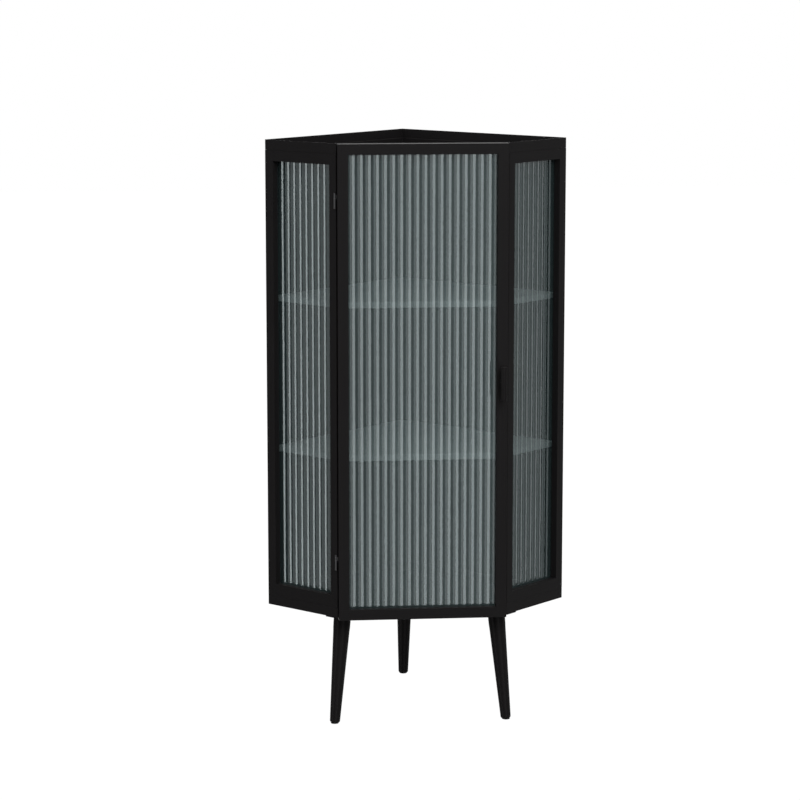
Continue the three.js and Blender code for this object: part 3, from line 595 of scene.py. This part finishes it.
def leg(name):
    """A turned leg that tapers to its foot; its top is cut level under its plate."""
    node = name + "_leg"
    plate = name + "_leg_plate"
    top_z = high(node).z
    foot = centre(name + "_foot_pad")
    foot.z = 0.0
    stud = centre(name + "_leg_stud")
    axis = (stud - foot).normalized()
    matrix = turn_to(axis, foot)
    length = (top_z - foot.z) / axis.z
    foot_flat = LEG_FOOT_RADIUS - LEG_FOOT_ROUND
    bottom = low(node).z - foot_flat * LEG_LEAN_SHARE
    foot_top = bottom + LEG_FOOT_ROUND
    shoulder = length - LEG_SHOULDER
    steps = 8
    profile = [(0.0, bottom)] + arc((foot_flat, foot_top), LEG_FOOT_ROUND, -90, 0, steps)
    for step in range(1, steps + 1):
        share = step / steps
        profile.append((LEG_FOOT_RADIUS + (LEG_TOP_RADIUS - LEG_SWELL - LEG_FOOT_RADIUS) * share,
                        foot_top + (shoulder - LEG_SHOULDER / 2 - foot_top) * share))
    profile += [(LEG_TOP_RADIUS - LEG_SWELL * 0.3, shoulder - LEG_SHOULDER * 0.2),
                (LEG_TOP_RADIUS, shoulder + LEG_SHOULDER * 0.2),
                (LEG_TOP_RADIUS, length), (0.0, length)]

    def make(shape):
        turned(shape, profile, matrix)
        for vert in shape.verts:
            along = axis.dot(vert.co - foot)
            if along > length - MM:
                vert.co += axis * ((top_z - vert.co.z) / axis.z)
            elif vert.co.z < low(node).z:
                vert.co.z = low(node).z

    smooth(new_piece(name + "_turned_leg", make, "cabinet", "leg_paint", (node,)), 50)

    def make_pad(shape):
        near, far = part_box(name + "_foot_pad")
        radius, height = (far.x - near.x) / 2, far.z - near.z
        soft = height * 0.45
        outline = [(0.0, 0.0), (radius - soft, 0.0)] + arc((radius - soft, soft), soft, -90, 0, 4)
        outline += arc((radius - soft, height - soft), soft, 0, 90, 4) + [(0.0, height)]
        turned(shape, outline, Matrix.Translation((foot.x, foot.y, near.z)))

    smooth(new_piece(name + "_foot_glide", make_pad, "cabinet", "rubber", (name + "_foot_pad",)), 40)

    near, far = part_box(plate)
    middle = (near + far) / 2
    if name == "back":
        reach = (far.x - near.x) / 2 - BACK_PLATE_SCREW_EDGE
        spots = [(middle.x + reach, middle.y), (middle.x - reach, middle.y),
                 (middle.x, middle.y + reach), (middle.x, middle.y - reach)]
    else:
        edge = PLATE_SCREW_EDGE
        outward = -1 if name == "front_left" else 1
        inner_x = near.x + edge if outward > 0 else far.x - edge
        outer_x = far.x - edge if outward > 0 else near.x + edge
        spots = [(inner_x, near.y + PLATE_SCREW_FROM_TRIM["inner"]), (inner_x, far.y - edge),
                 (outer_x, far.y - edge), (outer_x, near.y + PLATE_SCREW_FROM_TRIM["outer"])]
    screws(name + "_leg_plate_screws", "cabinet", [Vector((x, y, near.z)) for x, y in spots], (0, 0, -1))


for leg_name in ("front_left", "front_right", "back"):
    leg(leg_name)


# ---- handle ----

def handle():
    """The round bar and its post."""
    near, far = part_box("handle_bar")
    middle = (near + far) / 2
    radius, half, soft = (far.x - near.x) / 2, (far.z - near.z) / 2, HANDLE_ROUND

    def make_bar(shape):
        lower = [(0.0, -half), (radius - soft, -half)] + arc((radius - soft, -half + soft), soft, -90, 0, 6)
        upper = arc((radius - soft, half - soft), soft, 0, 90, 6) + [(0.0, half)]
        rings = [(radius, height * MM) for height in HANDLE_RINGS]
        turned(shape, lower + rings + upper, Matrix.Translation(middle))

    smooth(new_piece("handle_round_bar", make_bar, "door", "frame_paint", ("handle_bar",)), 40)

    post_near, post_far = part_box("handle_post")
    post_radius = (post_far.x - post_near.x) / 2
    foot_y = post_far.y

    def make_post(shape):
        reach = foot_y - middle.y - radius * 0.4
        wide = post_radius + POST_FLARE
        outline = [(0.0, 0.0), (wide, 0.0), (wide, POST_FOOT)]
        for angle in range(15, 91, 15):
            a = math.radians(angle)
            outline.append((wide - POST_FLARE * math.sin(a), POST_FOOT + POST_FLARE * (1 - math.cos(a))))
        outline += [(post_radius, reach), (0.0, reach)]
        root = Vector((middle.x, foot_y, (post_near.z + post_far.z) / 2))
        turned(shape, outline, turn_to((0, -1, 0), root))

    smooth(new_piece("handle_flared_post", make_post, "door", "frame_paint", ("handle_post",)), 40)


handle()


# ---- hinges ----

def hinge_pin(name):
    """A hinge pin with domed ends."""
    near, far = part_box(name)
    radius = (far.x - near.x) / 2
    dome = HINGE_PIN_DOME

    def make(shape):
        height = far.z - near.z
        outline = [(0.0, 0.0)]
        for a in (math.radians(angle) for angle in (30, 60, 90)):
            outline.append((radius * math.sin(a), dome * (1 - math.cos(a))))
        for a in (math.radians(angle) for angle in (0, 30, 60)):
            outline.append((radius * math.cos(a), height - dome + dome * math.sin(a)))
        outline.append((0.0, height))
        place = Matrix.Translation((centre(name).x, centre(name).y, near.z))
        turned(shape, outline, place, SMALL_SEGMENTS)

    smooth(new_piece(name + "_domed", make, "cabinet", "hardware_steel", (name,)), 60)


for level in ("upper", "lower"):
    hinge_pin(level + "_hinge_pin")


# ---- shelf pins and bumpers ----

def shelf_pin(name, direction):
    """A shelf pin: a root, a seating collar with a soft rim, and a peg with a rounded nose."""
    near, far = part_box(name)
    along = Vector(direction)
    ends = [along.dot(vertex.co) for vertex in nodes[name].data.vertices]
    middle = (near + far) / 2
    start, length = min(ends), max(ends) - min(ends)
    root = middle + along * (start - along.dot(middle))
    peg, collar, seat, rim, nose = PEG_RADIUS, COLLAR_RADIUS, COLLAR_SEAT, COLLAR_WIDTH, PEG_NOSE

    def make(shape):
        outline = [(0.0, 0.0), (peg, 0.0), (peg, seat), (collar - 0.3 * MM, seat), (collar, seat + 0.3 * MM),
                   (collar, seat + rim - 0.4 * MM), (collar - 0.4 * MM, seat + rim), (peg, seat + rim)]
        outline += arc((peg - nose, length - nose), nose, 0, 90, 5) + [(0.0, length)]
        turned(shape, outline, turn_to(direction, root), SMALL_SEGMENTS)

    smooth(new_piece(name + "_turned", make, "cabinet", "hardware_steel", (name,)), 40)


PIN_DIRECTIONS = {
    "front_left": (0, 1, 0), "front_right": (0, 1, 0),
    "back_left": (DIAGONAL, -DIAGONAL, 0), "back_right": (-DIAGONAL, -DIAGONAL, 0),
}
for level in ("upper", "lower"):
    for place_name, pin_direction in PIN_DIRECTIONS.items():
        shelf_pin(f"{level}_shelf_pin_{place_name}", pin_direction)


def bumper(name):
    """A soft dome that the closed door rests on."""
    near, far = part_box(name)
    radius, height = (far.x - near.x) / 2, far.y - near.y

    def make(shape):
        outline = [(0.0, 0.0), (radius, 0.0)]
        for a in (math.radians(angle) for angle in range(10, 90, 16)):
            outline.append((radius * math.cos(a), height * math.sin(a)))
        outline.append((0.0, height))
        place = Vector((centre(name).x, far.y, centre(name).z))
        turned(shape, outline, turn_to((0, -1, 0), place), DOME_SEGMENTS)

    smooth(new_piece(name + "_dome", make, "cabinet", "rubber", (name,)), 50)


for level in ("upper", "lower"):
    bumper(level + "_door_bumper")


# ---- fixings on the back panels, the clips and the catch ----

def back_panel_screws(face, side):
    """Screws along the two upright edges of a back panel, through the frame and the corner post."""
    direction = -Vector((face.matrix[0][0], face.matrix[1][0], 0))
    near, far = face.box(side + "_back_panel")
    span = far.z - near.z - 2 * PANEL_SCREW_END
    for label, w in (("side", near.y + PANEL_SCREW_EDGE), ("corner", far.y - PANEL_SCREW_EDGE)):
        places = []
        for row in range(PANEL_SCREW_ROWS):
            z = near.z + PANEL_SCREW_END + span * row / (PANEL_SCREW_ROWS - 1)
            places.append(face.matrix @ Vector((0, w, z)))
        screws(f"{side}_back_panel_{label}_screws", "cabinet", places, direction, rise=PANEL_SCREW_RISE)


back_panel_screws(LEFT, "left")
back_panel_screws(RIGHT, "right")


def clip_screws():
    """One screw through each glass clip, on its inner face."""
    for face in FACES:
        prefix = "door_glass_clip" if face is DOOR else face.name.replace("_side", "_glass_clip")
        inward = Vector((face.matrix[0][1], face.matrix[1][1], 0))
        places = []
        for name in sorted(n for n in nodes if n.startswith(prefix)):
            near, far = face.box(name)
            places.append(face.matrix @ Vector(((near.x + far.x) / 2, far.y, (near.z + far.z) / 2)))
        screws(face.name + "_clip_screws", face.body, places, inward, SMALL_SCREW_RADIUS, CLIP_SCREW_RISE)


clip_screws()

catch_near, catch_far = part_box("magnet_catch")
catch_x = (catch_near.x + catch_far.x) / 2
catch_heights = (catch_near.z + CATCH_SCREW_END, catch_far.z - CATCH_SCREW_END)
screws("magnet_catch_screws", "cabinet", [Vector((catch_x, catch_far.y, z)) for z in catch_heights],
       (0, 1, 0), SMALL_SCREW_RADIUS, SMALL_SCREW_RISE)


# ---- the sheet-metal parts and small hardware keep their solids ----

SLOT_OF = {row["node"]: row["material_slot"] for row in frame["record"]["subparts"]}
EDGE_RADIUS = {"frame_paint": FOLD_RADIUS, "shelf_glass": SHELF_ARRIS}

for node_name, node_object in nodes.items():
    finish(node_object, SLOT_OF[node_name])
    weld = node_object.modifiers.new("joined_corners", "WELD")
    weld.merge_threshold = JOIN_DISTANCE
    smooth(node_object, 30)
    round_edges(node_object, EDGE_RADIUS.get(SLOT_OF[node_name], SOFT_EDGE))


# ---- stage, lights and camera ----

FLOOR_HALF = 12.0
FLOOR_GLOW = 1.05
FLOOR_GLOW_SHARE = 0.97
FLOOR_GREY = 0.12


def floor():
    """A pale floor that looks white and throws little light back up."""
    mesh = bpy.data.meshes.new("floor")
    corners = [(-1, -1), (1, -1), (1, 1), (-1, 1)]
    mesh.from_pydata([(x * FLOOR_HALF, y * FLOOR_HALF, 0) for x, y in corners], [], [(0, 1, 2, 3)])
    piece = bpy.data.objects.new("floor", mesh)
    piece.visible_glossy = False
    bpy.context.scene.collection.objects.link(piece)
    material = bpy.data.materials.new("pale_floor")
    material.use_nodes = True
    tree = material.node_tree
    tree.nodes.clear()
    paint = add_node(tree, "ShaderNodeBsdfDiffuse")
    paint.inputs["Color"].default_value = (FLOOR_GREY, FLOOR_GREY, FLOOR_GREY, 1)
    glow = add_node(tree, "ShaderNodeEmission")
    glow.inputs["Color"].default_value = (1, 1, 1, 1)
    glow.inputs["Strength"].default_value = FLOOR_GLOW
    path = add_node(tree, "ShaderNodeLightPath")
    mix = add_node(tree, "ShaderNodeMixShader")
    plug(tree, maths(tree, "MULTIPLY", path.outputs["Is Camera Ray"], FLOOR_GLOW_SHARE), mix.inputs[0])
    tree.links.new(paint.outputs[0], mix.inputs[1])
    tree.links.new(glow.outputs[0], mix.inputs[2])
    output = add_node(tree, "ShaderNodeOutputMaterial")
    tree.links.new(mix.outputs[0], output.inputs["Surface"])
    mesh.materials.append(material)


# The studio's tall panels: where each stands round the cabinet, in degrees from straight in front
# and positive towards the right, half its width in degrees, and its brightness.
PANELS = (
    (17.0, 13.0, 2.35),
    (-9.0, 9.0, 0.8),
    (-66.0, 9.0, 3.0),
    (110.0, 9.0, 1.0),
    (62.0, 14.0, 0.6),
    (-98.0, 20.0, 0.38),
    (94.0, 20.0, 0.3),
    (180.0, 32.0, 1.4),
    (-180.0, 32.0, 1.4),
)
PANEL_SOFTNESS = 2.5


def surroundings(white, dim):
    """A white backdrop to look at; what lights the cabinet is a dim room with tall soft panels."""
    world = bpy.data.worlds.new("studio")
    bpy.context.scene.world = world
    world.use_nodes = True
    tree = world.node_tree
    tree.nodes.clear()
    split = add_node(tree, "ShaderNodeSeparateXYZ")
    plug(tree, add_node(tree, "ShaderNodeTexCoord").outputs["Generated"], split.inputs[0])
    forward = maths(tree, "MULTIPLY", split.outputs["Y"], -1.0)
    azimuth = maths(tree, "DEGREES", maths(tree, "ARCTAN2", split.outputs["X"], forward))
    brightness = dim
    for direction, half_width, strength in PANELS:
        away = maths(tree, "ABSOLUTE", maths(tree, "SUBTRACT", azimuth, direction))
        panel = spread(tree, away, half_width + PANEL_SOFTNESS, half_width - PANEL_SOFTNESS, 0.0, strength)
        brightness = maths(tree, "ADD", brightness, panel)
    backdrop = add_node(tree, "ShaderNodeBackground")
    backdrop.inputs["Strength"].default_value = white
    backdrop.inputs["Color"].default_value = (1, 1, 1, 1)
    room = add_node(tree, "ShaderNodeBackground")
    plug(tree, brightness, room.inputs["Strength"])
    room.inputs["Color"].default_value = (1, 1, 1, 1)
    path = add_node(tree, "ShaderNodeLightPath")
    mix = add_node(tree, "ShaderNodeMixShader")
    tree.links.new(path.outputs["Is Camera Ray"], mix.inputs[0])
    tree.links.new(room.outputs[0], mix.inputs[1])
    tree.links.new(backdrop.outputs[0], mix.inputs[2])
    output = add_node(tree, "ShaderNodeOutputWorld")
    tree.links.new(mix.outputs[0], output.inputs["Surface"])


# Where each soft light stands, the length of its square side, and how bright its face is.
SOFTBOXES = {
    "top_light": ((-0.5, -0.6, 3.2), 1.4, 2.0),
    "front_light": ((0.6, -3.2, 2.6), 1.8, 6.0),
}
BACKDROP_WHITE = 1.0
ROOM_DIM = 0.08


def softbox(name, place, aim, width, height, radiance):
    """An area light that looks from a place to a point, set by how bright its face is."""
    light = bpy.data.lights.new(name, "AREA")
    light.shape = "RECTANGLE"
    light.size = width
    light.size_y = height
    light.energy = radiance * math.pi * width * height
    lamp = bpy.data.objects.new(name, light)
    lamp.location = place
    lamp.rotation_mode = "QUATERNION"
    lamp.rotation_quaternion = (Vector(aim) - Vector(place)).to_track_quat("-Z", "Y")
    bpy.context.scene.collection.objects.link(lamp)


CAMERA_LENS = 123.07
CAMERA_SENSOR = 36
CAMERA_PLACE = (-0.5298, -5.4151, 1.5212)
CAMERA_DOWN = 9.382
CAMERA_RIGHT = 5.313
CAMERA_FAR = 60


def camera():
    lens = bpy.data.cameras.new("camera")
    lens.lens = CAMERA_LENS
    lens.sensor_width = CAMERA_SENSOR
    lens.clip_end = CAMERA_FAR
    viewer = bpy.data.objects.new("camera", lens)
    viewer.location = CAMERA_PLACE
    viewer.rotation_euler = (math.radians(90 - CAMERA_DOWN), 0, math.radians(-CAMERA_RIGHT))
    bpy.context.scene.collection.objects.link(viewer)
    bpy.context.scene.camera = viewer


floor()
surroundings(BACKDROP_WHITE, ROOM_DIM)
middle = (0, 0, (cad_box[0].z + cad_box[1].z) / 2)
for light_name, (light_place, light_side, light_radiance) in SOFTBOXES.items():
    softbox(light_name, light_place, middle, light_side, light_side, light_radiance)
camera()
bpy.context.scene.view_settings.view_transform = "Standard"
